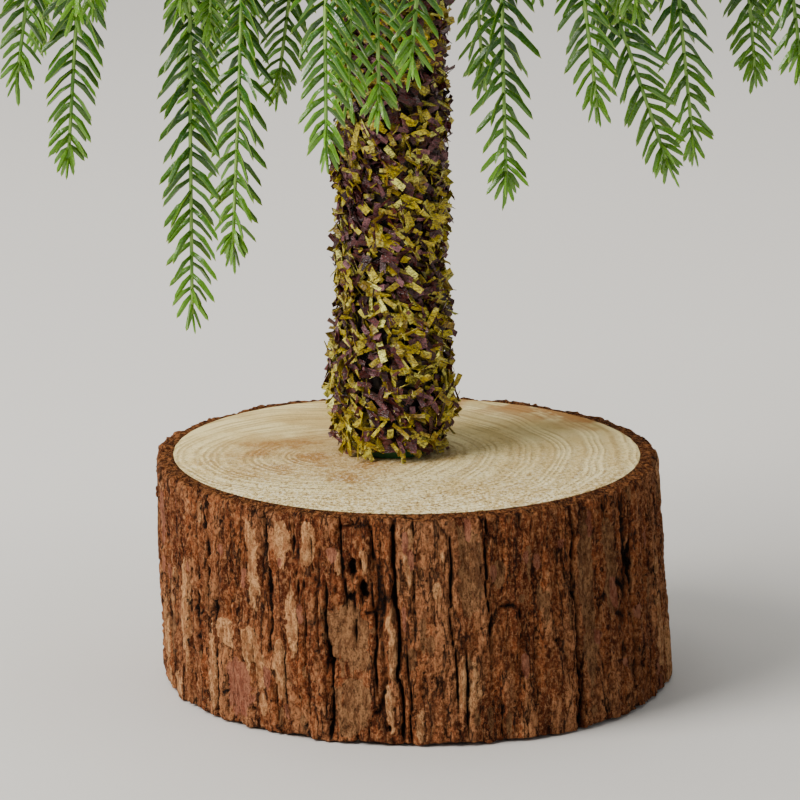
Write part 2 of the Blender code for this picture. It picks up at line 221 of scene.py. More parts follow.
def closed_sheet(rows, columns):
    """The faces of a ring-shaped body made of closed loops, the last joined to the first."""
    i = np.arange(columns)
    after = (i + 1) % columns
    faces = []
    for j in range(rows):
        low = j * columns
        high = (j + 1) % rows * columns
        faces.append(np.stack([low + i, low + after, high + after, high + i], axis=1))
    return np.concatenate(faces)


class Look:
    """A material under construction, with short calls for the nodes used here."""

    def __init__(self, name, roughness=0.5, **sockets):
        self.material = bpy.data.materials.new(name)
        self.material.use_nodes = True
        self.nodes = self.material.node_tree.nodes
        self.links = self.material.node_tree.links
        self.shader = self.nodes["Principled BSDF"]
        self.shader.inputs["Roughness"].default_value = roughness
        for socket, value in sockets.items():
            self.shader.inputs[socket.replace("_", " ")].default_value = value
        self.bump_out = None

    def join(self, source, target):
        self.links.new(source, target)

    def put(self, value, socket):
        if isinstance(value, bpy.types.NodeSocket):
            self.links.new(value, socket)
        elif isinstance(value, tuple) and len(value) == 3 and socket.type == "RGBA":
            socket.default_value = (*value, 1)
        else:
            socket.default_value = value

    def place(self, scale=(1, 1, 1)):
        """Object coordinates, scaled along each axis."""
        coords = self.nodes.new("ShaderNodeTexCoord")
        mapping = self.nodes.new("ShaderNodeMapping")
        mapping.inputs["Scale"].default_value = scale
        self.join(coords.outputs["Object"], mapping.inputs["Vector"])
        return mapping.outputs["Vector"]

    def noise(self, size, detail=3.0, stretch=(1, 1, 1), rough=0.55):
        """Noise whose features are about size metres across."""
        node = self.nodes.new("ShaderNodeTexNoise")
        node.inputs["Scale"].default_value = 1 / size
        node.inputs["Detail"].default_value = detail
        node.inputs["Roughness"].default_value = rough
        self.join(self.place(stretch), node.inputs["Vector"])
        return node.outputs["Fac"]

    def value(self, name):
        """A number that each vertex of the piece carries."""
        node = self.nodes.new("ShaderNodeAttribute")
        node.attribute_name = name
        return node.outputs["Fac"]

    def math(self, operation, a, b=0.0):
        node = self.nodes.new("ShaderNodeMath")
        node.operation = operation
        self.put(a, node.inputs[0])
        self.put(b, node.inputs[1])
        return node.outputs[0]

    def plus(self, a, b):
        return self.math("ADD", a, b)

    def minus(self, a, b):
        return self.math("SUBTRACT", a, b)

    def times(self, a, b):
        return self.math("MULTIPLY", a, b)

    def band(self, value, low, high, bottom=0.0, top=1.0):
        """value, taken from low..high to bottom..top, and clamped."""
        node = self.nodes.new("ShaderNodeMapRange")
        self.put(value, node.inputs["Value"])
        node.inputs["From Min"].default_value = low
        node.inputs["From Max"].default_value = high
        node.inputs["To Min"].default_value = bottom
        node.inputs["To Max"].default_value = top
        return node.outputs["Result"]

    def mix(self, share, a, b):
        """Colour a, turned to b by share."""
        node = self.nodes.new("ShaderNodeMix")
        node.data_type = "RGBA"
        colours = [socket for socket in node.inputs if socket.type == "RGBA"]
        self.put(share, node.inputs[0])
        self.put(a, colours[0])
        self.put(b, colours[1])
        return next(socket for socket in node.outputs if socket.type == "RGBA")

    def over(self, colour, value, low, high, share, other):
        """other laid over colour, up to share, as value goes from low to high."""
        return self.mix(self.band(value, low, high, 0.0, share), colour, other)

    def tones(self, value, dark, light, low=0.44, high=0.56):
        """One colour turning to another over a narrow band of a noise."""
        return self.mix(self.band(value, low, high), dark, light)

    def torn(self, name, coarse, fine, soft=0.06):
        """A patch's share, its edge torn by two noises."""
        jitter = self.plus(self.times(coarse, 1.3), self.times(fine, 0.9))
        ragged = self.plus(self.value(name), self.minus(jitter, 1.1))
        return self.band(ragged, 0.5 - soft, 0.5 + soft)

    def bump(self, height, distance, strength=1.0):
        node = self.nodes.new("ShaderNodeBump")
        node.inputs["Strength"].default_value = strength
        node.inputs["Distance"].default_value = distance
        self.join(height, node.inputs["Height"])
        if self.bump_out:
            self.join(self.bump_out, node.inputs["Normal"])
        self.bump_out = node.outputs["Normal"]

    def finish(self, colour, roughness=None):
        self.put(colour, self.shader.inputs["Base Color"])
        if roughness is not None:
            self.put(roughness, self.shader.inputs["Roughness"])
        if self.bump_out:
            self.join(self.bump_out, self.shader.inputs["Normal"])
        return self.material


# -------------------------------------------------------------------------------- log slice

def log_reach(angle, down):
    """The log's outline, as in the CAD: a little out of round and flaring toward the foot."""
    waves = 0.008 * np.cos(2 * angle + 0.6) + 0.006 * np.cos(3 * angle - 1.1)
    return LOG_RADIUS * (1 + waves) + LOG_FLARE * down


# Fissures at the front: degrees to the right of the front, foot and top as shares of the height,
# half width and depth in millimetres.
FRONT_FISSURES = (
    (-78, 0.0, 1.0, 0.50, 1.6), (-69, 0.3, 1.0, 0.35, 0.9), (-62, 0.0, 0.55, 0.35, 1.0),
    (-73, 0.0, 0.8, 0.30, 1.2), (-65.5, 0.5, 1.0, 0.25, 1.0), (-58, 0.1, 0.9, 0.30, 1.2),
    (-45, 0.45, 0.95, 0.25, 1.0), (-42.5, 0.5, 0.9, 0.25, 0.9), (-35.5, 0.5, 0.95, 0.22, 1.0),
    (-30, 0.05, 0.45, 0.30, 1.2), (-25, 0.1, 0.75, 0.25, 1.0), (-22, 0.3, 0.95, 0.22, 0.9),
    (-54, 0.35, 1.0, 0.40, 1.3), (-51, 0.0, 0.55, 0.40, 1.3), (-47.5, 0.0, 0.35, 0.25, 1.0),
    (-39, 0.1, 0.4, 0.30, 0.9), (-34, 0.35, 1.0, 0.45, 1.3), (-33, 0.0, 0.25, 0.30, 0.9),
    (-26.5, 0.62, 1.0, 0.30, 1.2), (-19.5, 0.0, 0.72, 0.50, 1.7), (-15, 0.60, 1.0, 0.35, 1.3),
    (-13, 0.45, 0.80, 0.35, 1.6), (-8.5, 0.25, 0.98, 0.40, 1.5), (-3.2, 0.0, 1.0, 0.55, 2.1),
    (-1.2, 0.0, 0.42, 0.30, 1.2), (9.2, 0.15, 0.95, 0.35, 1.2), (11.5, 0.0, 0.45, 0.35, 1.2),
    (17.5, 0.35, 1.0, 0.35, 1.3), (25.5, 0.0, 0.62, 0.25, 1.0), (20, 0.0, 0.35, 0.25, 0.8),
    (40.0, 0.0, 1.0, 0.55, 2.2), (47.5, 0.0, 0.62, 0.30, 0.9), (51, 0.80, 1.0, 0.30, 1.0),
    (60.5, 0.0, 1.0, 0.70, 2.4), (56.0, 0.40, 0.62, 0.30, 0.9), (73, 0.0, 1.0, 0.40, 1.1),
)
# Patches at the front: degrees, half width in degrees, foot and top as shares, and the tone.
FRONT_PATCHES = (
    (-38.0, 2.3, 0.53, 0.94, "pale"), (-30.0, 1.9, 0.74, 0.97, "pale"), (-28.0, 1.7, 0.36, 0.70, "pale"),
    (-23.0, 1.4, 0.78, 0.96, "pale"), (-40.0, 2.2, 0.30, 0.46, "pale"), (-37.0, 1.6, 0.18, 0.34, "pale"),
    (-47.5, 3.2, 0.34, 0.46, "pale"), (-64.0, 1.8, 0.25, 0.72, "pale"), (-31.5, 1.3, 0.14, 0.42, "pale"),
    (-52.5, 1.2, 0.05, 0.40, "pale"), (-14.0, 5.2, 0.30, 0.62, "grey"), (-4.6, 1.0, 0.30, 0.62, "pale"),
    (-15.0, 4.4, 0.03, 0.30, "grey"), (-5.8, 1.5, 0.02, 0.26, "pale"), (0.2, 1.0, 0.70, 0.95, "pale"),
    (13.2, 2.6, 0.58, 0.96, "grey"), (43.8, 2.0, 0.05, 0.96, "grey"), (-43.5, 3.6, 0.02, 0.28, "pink"),
    (12.0, 3.0, 0.12, 0.40, "pale"), (52.5, 2.2, 0.45, 0.92, "grey"), (20.5, 1.4, 0.68, 0.80, "grey"),
)
# Holes at the front: degrees, height as a share, half width in degrees, half height as a share
# and depth in millimetres.
FRONT_HOLES = (
    (-12.8, 0.78, 0.9, 0.035, 2.0), (-10.2, 0.69, 1.1, 0.040, 2.4), (-13.6, 0.65, 0.7, 0.020, 1.6),
    (-40.0, 0.09, 0.55, 0.018, 2.4), (-6.3, 0.07, 0.55, 0.018, 2.4), (-18.5, 0.36, 0.5, 0.015, 1.8),
    (34.0, 0.42, 0.35, 0.010, 1.4),
)

# The finer cracks all round: cells across and up, depth in millimetres, width in noise, seed.
BARK_CRACKS = ((70, 1.2, 0.9, 0.08, 41), (130, 2.6, 0.8, 0.13, 43), (240, 7.0, 0.5, 0.20, 45))
BARK_KINDS = ("pale", "grey", "pink")
PATCH_RISE = {"pale": 0.30, "grey": -0.25, "pink": -0.15}  # millimetres
DARK_SIDE = (12, 62)  # degrees to the right of the front where the old dark bark is whole
BACK_FISSURES = 52
BACK_PATCHES = 46
SMALL_FLAKES = 150
RIM_STEPS = 7  # loops from the bark's face over the rim to the wood


def bark_marks():
    """The fissures and patches of the front, and others like them round the sides and back."""
    chance = np.random.default_rng(5)
    fissures = list(FRONT_FISSURES)
    for _ in range(BACK_FISSURES):
        at = chance.uniform(82, 278)
        foot, top = sorted(chance.uniform(-0.3, 1.3, 2))
        fissures.append((at, foot, top, chance.uniform(0.25, 0.65), chance.uniform(0.8, 2.2)))
    patches = list(FRONT_PATCHES)
    for _ in range(SMALL_FLAKES):
        foot = chance.uniform(-0.02, 0.95)
        kind = chance.choice(BARK_KINDS)
        at = chance.uniform(0, 360)
        width = chance.uniform(0.4, 1.1)
        top = foot + chance.uniform(0.04, 0.16)
        if kind == "pale" and DARK_SIDE[0] < at < DARK_SIDE[1]:
            kind = "grey"
        patches.append((at, width, foot, top, kind))
    for _ in range(BACK_PATCHES):
        at = chance.uniform(70, 290)
        foot = chance.uniform(-0.1, 0.85)
        kind = chance.choice(["pale", "pale", "pale", "grey", "pink"])
        patches.append((at, chance.uniform(0.9, 3.4), foot, foot + chance.uniform(0.1, 0.5), kind))
    return fissures, patches


def turn_from(front, at):
    """Degrees round the log from a mark's place, from -180 to 180."""
    return (front - at + 180) % 360 - 180


def bark_relief(u, height):
    """The bark's face, in millimetres out of its mean, and each point's numbers for the look."""
    def lumps(across, up, seed):
        return noise(u, height, across, up, seed)

    fissures, patches = bark_marks()
    degree = LOG_RADIUS * math.radians(1) * 1000  # in millimetres of bark
    front = turn_from(360 * u, 270)  # degrees to the right of the front
    ragged = lumps(260, 26, 3) * 0.5 + lumps(520, 55, 4) * 0.4
    wander = 0.55 * lumps(60, 6, 1) + 0.30 * lumps(150, 16, 2)
    field = 0.30 * lumps(46, 3.0, 6) + 0.20 * lumps(110, 5, 7)

    # Overlapping plates, torn off here and there in steps.
    tears = 0.22 * ragged + 0.15 * lumps(180, 9, 53)
    plates = lumps(64, 1.5, 51) + tears
    flakes = lumps(130, 3.6, 52) + tears
    field += 0.50 * smooth(-0.07, 0.07, plates) + 0.34 * smooth(-0.10, 0.10, flakes) - 0.42
    left, right = DARK_SIDE
    whole = smooth(left - 5, left + 5, front) * smooth(right + 15, right, front)
    values = {key: np.zeros(u.shape) for key in BARK_KINDS}
    values["plate"] = np.clip(0.5 + 0.8 * plates + 0.7 * flakes - 0.30 * whole, 0, 1)
    # The steps at the plates' edges get painted shade.
    ledges = smooth(0.10, 0.0, np.abs(plates + 0.05))
    values["deep"] = 0.58 * ledges * smooth(-0.2, 0.2, lumps(90, 5, 54))

    for at, width, foot, top, kind in patches:
        rise = (height - (top + foot) / 2) / ((top - foot) / 2)
        taper = 1 + 0.22 * np.clip(rise, -1, 1)
        aside = np.abs(turn_from(front, at)) / width / taper
        bound = aside ** 1.7 + np.abs(rise) ** 3.5 + 0.9 * wander + 0.9 * ragged
        field += smooth(1.20, 0.80, bound) * PATCH_RISE[kind]
        values[kind] = np.maximum(values[kind], np.clip(1.5 - bound, 0, 1))

    # The patches are calmer than the old bark between them.
    patched = np.maximum(values["pale"], np.maximum(values["grey"], values["pink"]))
    rough = 1 - 0.80 * smooth(0.3, 0.7, patched)
    fibre = 0.34 * lumps(240, 6, 8) + 0.26 * lumps(380, 14, 9)
    grain = 0.26 * lumps(320, 50, 10) + 0.26 * lumps(380, 88, 11)
    field += rough * (fibre + grain)

    # Below, cracks, fissures and holes are cut into the face, and each gets painted shade by its depth.
    for across, up, depth, width, seed in BARK_CRACKS:
        line = noise(u + 0.003 * wander, height, across, up, seed)
        crack = np.clip(1 - np.abs(line) / width, 0, 1) ** 1.3
        crack *= smooth(-0.35, 0.15, lumps(across // 3, up, seed + 1))
        crack *= 0.15 + 0.85 * rough
        field -= depth * crack
        values["deep"] = np.maximum(values["deep"], crack * min(depth, 1) * 0.85)
    for at, foot, top, width, depth in fissures:
        aside = turn_from(front, at) * degree - 1.1 * wander
        along = smooth(foot - 0.05, foot + 0.05, height) * smooth(top + 0.05, top - 0.05, height)
        wide = np.maximum(width * (0.80 + 0.6 * ragged), 0.16)
        cut = along * np.exp(-(aside / wide) ** 2)
        field -= depth * cut
        values["deep"] = np.maximum(values["deep"], cut * min(depth / 1.3, 1))
    for at, level, width, half, depth in FRONT_HOLES:
        bound = (turn_from(front, at) / width) ** 2 + ((height - level) / half) ** 2 + 1.3 * ragged
        inside = np.exp(-np.clip(bound, 0, 9) ** 2)
        field -= depth * inside
        values["deep"] = np.maximum(values["deep"], inside)
    return np.clip(field, -3.2, 0.65), values


def make_bark():
    angle = np.linspace(0, 2 * np.pi, BARK_COLUMNS, endpoint=False)[None, :]
    height = np.linspace(0, 1, BARK_ROWS)[:, None]
    angle, height = np.broadcast_arrays(angle, height)
    u = angle / (2 * np.pi)
    field, values = bark_relief(u, height)

    edge = smooth(0.985, 1.0, height) + 0.6 * smooth(0.03, 0.0, height)
    reach = log_reach(angle, 1 - height) - BARK_SHY + field * 0.001 - 0.0003 * edge
    lip = 0.0004 * noise(u, height, 90, 1, 12) + 0.0003 * noise(u, height, 300, 1, 16)
    foot = 0.0009 * np.abs(noise(u, height, 70, 1, 13)) * smooth(0.1, 0.0, height)
    z = GAP + (LOG_HEIGHT - 0.0007 - GAP) * height + lip * smooth(0.9, 1.0, height) + foot
    round_ = angle[0]
    flat_u = u[0]

    def loop(radius, level, shift):
        return np.stack([shift + radius * np.cos(round_), radius * np.sin(round_), level], axis=1)

    loops = [loop(reach[j], z[j], LOG_SKEW * (1 - height[j])) for j in range(BARK_ROWS)]
    values["rim"] = 0.6 * smooth(0.975, 1.0, height)
    rows = {key: list(numbers) for key, numbers in values.items()}
    zeros = np.zeros(BARK_COLUMNS)
    inner = log_reach(round_, zeros) - BARK_THICKNESS
    for k in range(1, RIM_STEPS + 1):
        share = k / RIM_STEPS
        ragged = noise(flat_u, share * 6 + zeros, 420, 1, 14) + noise(flat_u, share * 3 + zeros, 130, 1, 15)
        level = z[-1] + (LOG_HEIGHT - 0.0001 - z[-1]) * share ** 0.4
        level = level + 0.0004 * ragged * (1 - share) ** 0.5
        loops.append(loop(reach[-1] + (inner - reach[-1]) * share, level, 0.0))
        for key in values:
            rows[key].append(values[key][-1] * 0.35 * (1 - share))
        rows["rim"][-1] = zeros + 0.6 + 0.4 * share
    loops.append(loop(log_reach(round_, 1 + zeros) - BARK_THICKNESS, GAP + zeros, LOG_SKEW))
    for key in rows:
        rows[key].append(zeros)

    faces = closed_sheet(len(loops), BARK_COLUMNS)
    flat = {key: np.concatenate(numbers) for key, numbers in rows.items()}
    add_mesh("bark_look", np.concatenate(loops), faces, bark_look(), "base", ["bark"], flat)


def bark_look():
    """Red-brown granular bark, tan, grey and pinkish patches torn off it, and near-black painted shade in
    its cracks.
    """
    look = Look("bark", 0.9, Specular_IOR_Level=0.12)
    fine = look.noise(0.0008, 4.0, (1, 1, 0.7), rough=0.8)
    grain = look.noise(0.0013, 4.0, (1, 1, 0.45), rough=0.75)
    fibres = look.noise(0.0030, 5.0, (1, 1, 0.12), rough=0.70)
    broad = look.noise(0.016, 4.0, (1, 1, 0.45))
    # Thin upright slits lie where this noise is near its middle.
    slit = look.math("ABSOLUTE", look.minus(look.noise(0.0036, 3.0, (1, 1, 0.13)), 0.5))
    patches = look.math("MAXIMUM", look.value("grey"), look.value("pink"))
    patches = look.math("MAXIMUM", look.value("pale"), patches)

    colour = look.tones(fibres, (0.135, 0.030, 0.009), (0.40, 0.112, 0.033), 0.42, 0.58)
    brown = look.tones(fibres, (0.330, 0.118, 0.046), (0.66, 0.285, 0.122), 0.42, 0.58)
    colour = look.mix(look.times(look.torn("plate", fibres, grain), 0.85), colour, brown)
    colour = look.over(colour, broad, 0.48, 0.60, 0.40, (0.42, 0.155, 0.062))
    colour = look.over(colour, broad, 0.46, 0.38, 0.60, (0.190, 0.042, 0.013))
    colour = look.over(colour, grain, 0.52, 0.60, 0.50, (0.62, 0.260, 0.100))
    colour = look.over(colour, grain, 0.48, 0.41, 0.60, (0.090, 0.022, 0.007))
    colour = look.over(colour, fine, 0.53, 0.60, 0.50, (0.72, 0.350, 0.150))
    colour = look.over(colour, fine, 0.47, 0.41, 0.70, (0.045, 0.012, 0.004))

    tan = look.tones(grain, (0.45, 0.185, 0.072), (0.78, 0.405, 0.180))
    tan = look.over(tan, fine, 0.48, 0.42, 0.65, (0.170, 0.060, 0.020))
    colour = look.mix(look.torn("pale", fibres, grain), colour, tan)
    grey = look.tones(grain, (0.190, 0.076, 0.030), (0.41, 0.195, 0.082))
    grey = look.over(grey, fine, 0.47, 0.40, 0.75, (0.065, 0.025, 0.010))
    colour = look.mix(look.torn("grey", fibres, grain), colour, grey)
    pink = look.tones(grain, (0.26, 0.080, 0.042), (0.44, 0.175, 0.095))
    colour = look.mix(look.torn("pink", fibres, grain), colour, pink)

    rim = look.tones(grain, (0.090, 0.022, 0.006), (0.44, 0.165, 0.052))
    rim = look.over(rim, fine, 0.48, 0.42, 0.8, (0.040, 0.011, 0.003))
    colour = look.mix(look.band(look.value("rim"), 0.3, 0.8), colour, rim)
    # Painted shade: thin upright slits are near black, less so on the patches.
    crack = look.times(look.band(slit, 0.020, 0.006), look.band(patches, 0.4, 0.7, 1.0, 0.20))
    colour = look.mix(look.times(crack, 0.85), colour, (0.012, 0.004, 0.002))
    # Painted shade: near black in the fissures, cracks and holes and at the plates' steps.
    deep = look.plus(look.value("deep"), look.times(look.minus(fine, 0.5), 1.2))
    colour = look.mix(look.band(deep, 0.32, 0.60), colour, (0.008, 0.003, 0.0015))

    look.bump(look.band(slit, 0.0, 0.03), 0.0006, 0.8)
    look.bump(fibres, 0.0022, 0.8)
    look.bump(grain, 0.0020, 1.0)
    look.bump(fine, 0.0012, 1.0)
    return look.finish(colour, look.band(fine, 0.4, 0.6, 0.95, 0.70))


def wood_look():
    """Pale sawn wood: growth rings about a pith left of the trunk, a brown heart, dust and stains."""
    look = Look("sawn_wood", 0.75, Specular_IOR_Level=0.2)
    coords = look.nodes.new("ShaderNodeTexCoord")
    shift = look.nodes.new("ShaderNodeMapping")
    shift.inputs["Location"].default_value = -PITH
    look.join(coords.outputs["Object"], shift.inputs["Vector"])
    split = look.nodes.new("ShaderNodeSeparateXYZ")
    look.join(shift.outputs["Vector"], split.inputs["Vector"])
    x = split.outputs["X"]
    y = split.outputs["Y"]
    distance = look.math("SQRT", look.plus(look.times(x, x), look.times(y, y)))
    waver = look.noise(0.030, 1.0, (1, 1, 0))
    ringed = look.plus(distance, look.times(look.minus(waver, 0.5), 0.0085))
    # The rings' widths vary, so the distance is stretched here and there before it turns to waves.
    pace = look.times(look.math("SINE", look.times(ringed, 2 * math.pi / 0.0093)), 0.0008)
    paced = look.plus(ringed, pace)
    rings = look.math("SINE", look.times(paced, 2 * math.pi / RING_WIDTH))
    wide = look.math("SINE", look.times(paced, 2 * math.pi / (4 * RING_WIDTH)))
    slow = look.noise(0.0110, 3.0)
    fine = look.noise(0.0009, 5.0, rough=0.8)
    grit = look.noise(0.0007, 4.0, (1, 0.6, 1), rough=0.8)
    cloud = look.noise(0.016, 4.0)

    colour = look.tones(cloud, (0.80, 0.60, 0.250), (0.97, 0.80, 0.400), 0.40, 0.60)
    line = look.times(look.band(rings, 0.30, 1.0, 0.0, 0.70), look.band(slow, 0.42, 0.56, 0.25, 1.0))
    colour = look.mix(line, colour, (0.47, 0.29, 0.095))
    colour = look.over(colour, wide, 0.3, 1.0, 0.45, (0.58, 0.39, 0.140))
    blur = look.times(look.minus(cloud, 0.5), 0.050)
    heart = look.band(look.plus(ringed, blur), 0.031, 0.013)
    heart = look.times(heart, look.band(slow, 0.42, 0.56, 0.55, 1.0))
    colour = look.mix(heart, colour, (0.46, 0.235, 0.064))

    # Sawdust and pits lie thickest toward the front.
    near = look.band(y, 0.020, -0.045)
    dust = look.times(look.band(fine, 0.47, 0.41), look.band(near, 0, 1, 0.15, 0.50))
    colour = look.mix(dust, colour, (0.42, 0.265, 0.085))
    chips = look.times(look.band(grit, 0.54, 0.57), look.band(near, 0, 1, 0.0, 0.95))
    colour = look.mix(chips, colour, (1.00, 0.94, 0.70))
    pits = look.times(look.band(grit, 0.445, 0.425), look.band(near, 0, 1, 0.15, 1.0))
    colour = look.mix(pits, colour, (0.22, 0.110, 0.030))
    far = look.plus(look.times(x, 0.55), look.times(y, 0.83))
    stain = look.times(look.band(far, 0.050, 0.062), look.band(look.noise(0.010, 3.0), 0.44, 0.56, 0, 0.8))
    colour = look.mix(stain, colour, (0.46, 0.180, 0.035))
    look.bump(rings, 0.00010, 0.6)
    look.bump(grit, 0.0003, 0.6)
    look.bump(fine, 0.0002, 0.6)
    return look.finish(colour, look.band(fine, 0.3, 0.7, 0.88, 0.66))


# ---------------------------------------------------------------------------------- strips

def atlas(count):
    """A grid of small squares on the bake map, one for each strip or needle."""
    side = max(1, math.ceil(math.sqrt(count)))
    index = np.arange(count)
    return np.stack([index % side, index // side], axis=1) / side, 1 / side


def strip_mesh(roots, directions, normals, lengths, widths, bends, twists):
    """Thin, bent, rectangular strips, each a closed solid of three cross sections."""
    count = len(roots)
    sides = unit(np.cross(directions, normals))
    rows = []
    for share in (0.0, 0.5, 1.0):
        along = directions * (lengths * share)[:, None] + normals * (bends * lengths * share ** 2)[:, None]
        wide = turned(twists * share, sides, normals)
        up = unit(np.cross(wide, directions))
        middle = roots + along
        for across, high in ((-1, -1), (1, -1), (1, 1), (-1, 1)):
            lifted = middle + up * (high * STRIP_THICKNESS / 2)
            rows.append(lifted + wide * (across * widths / 2)[:, None])
    verts = np.stack(rows, axis=1)
    pattern = [(3, 2, 1, 0), (8, 9, 10, 11)]
    for k in (0, 4):
        pattern += [(k, k + 1, k + 5, k + 4), (k + 1, k + 2, k + 6, k + 5)]
        pattern += [(k + 2, k + 3, k + 7, k + 6), (k + 3, k, k + 4, k + 7)]
    faces = (np.arange(count) * STRIP_VERTS)[:, None, None] + np.array(pattern)[None]
    corner, step = atlas(count)
    local = np.array([(x, y) for y in (0.1, 0.5, 0.9) for x in (0.1, 0.9, 0.9, 0.1)])
    uvs = corner[:, None] + local[None] * step
    return verts.reshape(-1, 3), faces.reshape(-1, 4), uvs.reshape(-1, 2)


def lay_strips():
    """Where each strip stands, which way it points, its sizes and its colour."""
    chance = np.random.default_rng(21)
    foot = LOG_HEIGHT + STRIP_FOOT
    count = STRIP_COUNT
    angle = chance.uniform(0, 2 * np.pi, count)
    height = chance.uniform(foot, GARLAND_TOP - 0.001, count)
    depth = chance.uniform(0, 1, count) ** 0.7
    above = height - LOG_HEIGHT
    # The winding swells over the log, and draws in at the very foot.
    bulge = 0.0018 * np.exp(-((above - 0.016) / 0.013) ** 2) - 0.0030 * np.exp(-above / 0.0035)
    wave = 0.0006 * np.sin(angle - height * 2 * np.pi / 0.024)
    radius = STRIP_INNER + STRIP_DEPTH * depth + bulge + wave
    out = np.stack([np.cos(angle), np.sin(angle), 0 * angle], axis=1)
    round_ = np.stack([-np.sin(angle), np.cos(angle), 0 * angle], axis=1)
    up = np.array([0.0, 0.0, 1.0])
    lengths = chance.uniform(*STRIP_LENGTH, count)
    lengths *= 1 + 0.35 * np.exp(-above / 0.03)
    stray = chance.uniform(0, 1, count) < STRAY_SHARE
    lengths = np.where(stray, lengths * 1.2, lengths)
    widths = chance.uniform(*STRIP_WIDTH, count)

    # Most lie along the winding and slope down to the right, and the rest point anywhere.
    slope = np.radians(chance.normal(*STRIP_SLOPE, count))
    loose = chance.uniform(0, 1, count) < LOOSE_SHARE
    slope = np.where(loose, chance.uniform(-np.pi, np.pi, count), slope)
    lean = np.where(loose, chance.uniform(0.1, 1.3, count), chance.uniform(0.0, 0.5, count))
    lean = np.where(stray, 1.2, lean)
    directions = unit(turned(slope, round_, up) + out * lean[:, None])
    tilt = chance.normal(0, 0.55, count)
    across = unit(np.cross(directions, out))
    normals = turned(tilt, out, across)
    normals = unit(normals - directions * np.sum(normals * directions, axis=1)[:, None])

    # Each is held a third of the way along, and none reaches into the log.
    centre = np.array(TRUNK) + out * radius[:, None] + up * height[:, None]
    roots = centre - directions * (lengths * 0.35)[:, None]
    roots[:, 2] = np.maximum(roots[:, 2], foot)
    ends = roots[:, 2] + directions[:, 2] * lengths
    floor = LOG_HEIGHT + 0.0006
    low = ends < floor
    roots[low, 2] += (floor - ends)[low]
    bends = chance.normal(-0.10, 0.16, count)
    twists = chance.normal(0, 0.35, count)
    brown_share = 0.56 + 0.10 * np.sin(angle * 2 + height * 160) - 0.26 * np.exp(-above / 0.03)
    brown = chance.uniform(0, 1, count) < brown_share
    tint = chance.uniform(0, 1, count)
    order = np.argsort(height)
    swell = (height[order], bulge[order])
    return (roots, directions, normals, lengths, widths, bends, twists), brown, tint, swell


def make_garland():
    """Thousands of chopped strips that stand and lie on the trunk in a loose spiral."""
    strips, brown, tint, swell = lay_strips()
    for name, chosen, look in (("brown", brown, brown_strip_look()), ("olive", ~brown, olive_strip_look())):
        verts, faces, uvs = strip_mesh(*(numbers[chosen] for numbers in strips))
        reach = np.hypot(verts[:, 0] - TRUNK.x, verts[:, 1] - TRUNK.y)
        # outer is 0 deep in the winding and 1 at its face; the strips' look paints shade where it is low.
        outer = smooth(STRIP_FULL_SHADE, STRIP_NO_SHADE, reach - np.interp(verts[:, 2], *swell))
        values = {"tint": np.repeat(tint[chosen], STRIP_VERTS), "outer": outer}
        replaced = ["trunk_garland"]
        piece = add_mesh(
            f"garland_{name}", verts, faces, look, "base", replaced, values, uvs
        )
        piece.data.polygons.foreach_set("use_smooth", [False] * len(piece.data.polygons))


def make_garland_roots():
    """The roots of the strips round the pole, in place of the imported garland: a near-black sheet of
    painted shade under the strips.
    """
    foot = LOG_HEIGHT + STRIP_FOOT
    rows, columns = 90, 48
    angle, level = np.meshgrid(np.linspace(0, 2 * np.pi, columns, endpoint=False), np.linspace(0, 1, rows))
    lumps = 0.0007 * noise(angle / (2 * np.pi), level, 22, 40, 31)
    reach = POLE_RADIUS + 0.0022 + lumps
    reach[0], reach[-1] = POLE_RADIUS + GAP, POLE_RADIUS + GAP
    z = foot + 0.0008 + (GARLAND_TOP - foot - 0.0008) * level
    outer = np.stack([TRUNK.x + reach * np.cos(angle), TRUNK.y + reach * np.sin(angle), z], axis=2)
    faces = closed_sheet(rows, columns)
    look = root_shade_look()
    add_mesh("garland_roots", outer.reshape(-1, 3), faces, look, "base", ["trunk_garland"])


def strip_look(name, dark, light, glint):
    look = Look(name, 0.30, Specular_IOR_Level=0.5)
    tint = look.value("tint")
    emboss = look.noise(0.00070, 2.0, (1, 1, 2.0), rough=0.6)
    patch = look.noise(0.0026, 3.0)
    colour = look.tones(tint, dark, light, 0.0, 0.8)
    # Painted highlight: a bright glint colour on some strips, and in patches on others.
    colour = look.over(colour, tint, 0.82, 0.92, 0.85, glint)
    colour = look.over(colour, patch, 0.52, 0.62, 0.4, glint)
    colour = look.mix(look.band(emboss, 0.50, 0.45, 0.0, 0.70), colour, tuple(0.25 * c for c in dark))
    # Painted shade: strips deep in the winding turn near black.
    deep = tuple(0.08 * c for c in dark)
    colour = look.mix(look.band(look.value("outer"), 0.2, 0.95, 0.97, 0.0), colour, deep)
    look.bump(emboss, 0.00030, 1.0)
    return look.finish(colour, look.band(emboss, 0.42, 0.58, 0.50, 0.20))


def brown_strip_look():
    # The last colour is a painted glint.
    return strip_look("garland_brown", (0.026, 0.003, 0.003), (0.110, 0.017, 0.015), (0.28, 0.110, 0.130))


def olive_strip_look():
    # The last colour is a painted glint.
    return strip_look("garland_olive", (0.21, 0.115, 0.001), (0.63, 0.50, 0.010), (0.96, 0.94, 0.200))


def root_shade_look():
    look = Look("garland_roots", 0.85)
    lumps = look.noise(0.0015, 3.0)
    # Painted shade: the roots are near black, for the shade under the strips.
    colour = look.tones(lumps, (0.006, 0.003, 0.003), (0.035, 0.018, 0.006), 0.40, 0.70)
    look.bump(lumps, 0.001, 0.8)
    return look.finish(colour)


# --------------------------------------------------------------------------------- needles

